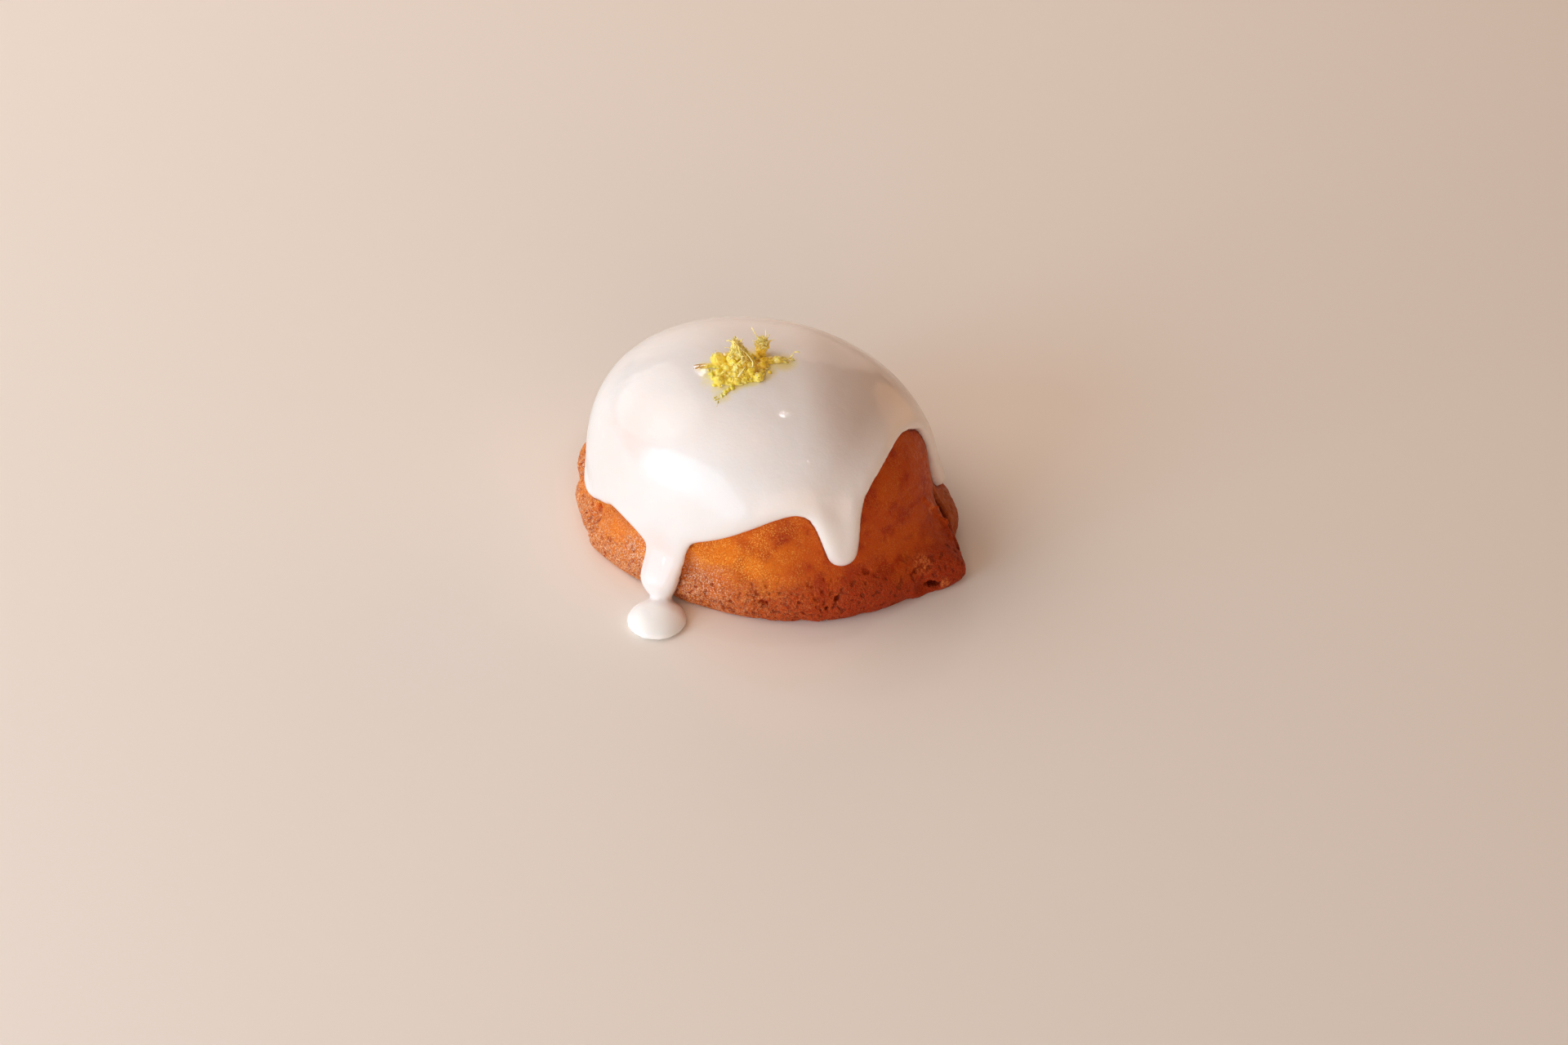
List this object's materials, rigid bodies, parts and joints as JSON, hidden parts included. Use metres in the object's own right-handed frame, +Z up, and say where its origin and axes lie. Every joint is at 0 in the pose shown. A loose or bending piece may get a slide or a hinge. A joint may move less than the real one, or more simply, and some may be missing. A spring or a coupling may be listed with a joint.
{
  "type": "lemon cake",
  "caption": "Small lemon-shaped sponge cake turned out dome up, under glossy poured icing that ends in drips and a drop, with a heap of grated lemon zest on top.",
  "frame": {"origin": "middle of the cake's flat base, on the surface it rests on", "axes": "+X along the lemon to its front tip, +Y across it to the back, +Z up"},
  "size_m": [0.0801, 0.0692, 0.041],
  "materials": {
    "sponge": "golden-brown baked sponge crust, darker and rougher round the rim",
    "icing": "glossy, faintly translucent poured sugar icing",
    "zest": "damp grated lemon peel"
  },
  "bodies": {
    "root": {"sponge": "sponge", "icing": "icing", "zest": "zest"}
  },
  "joints": []
}
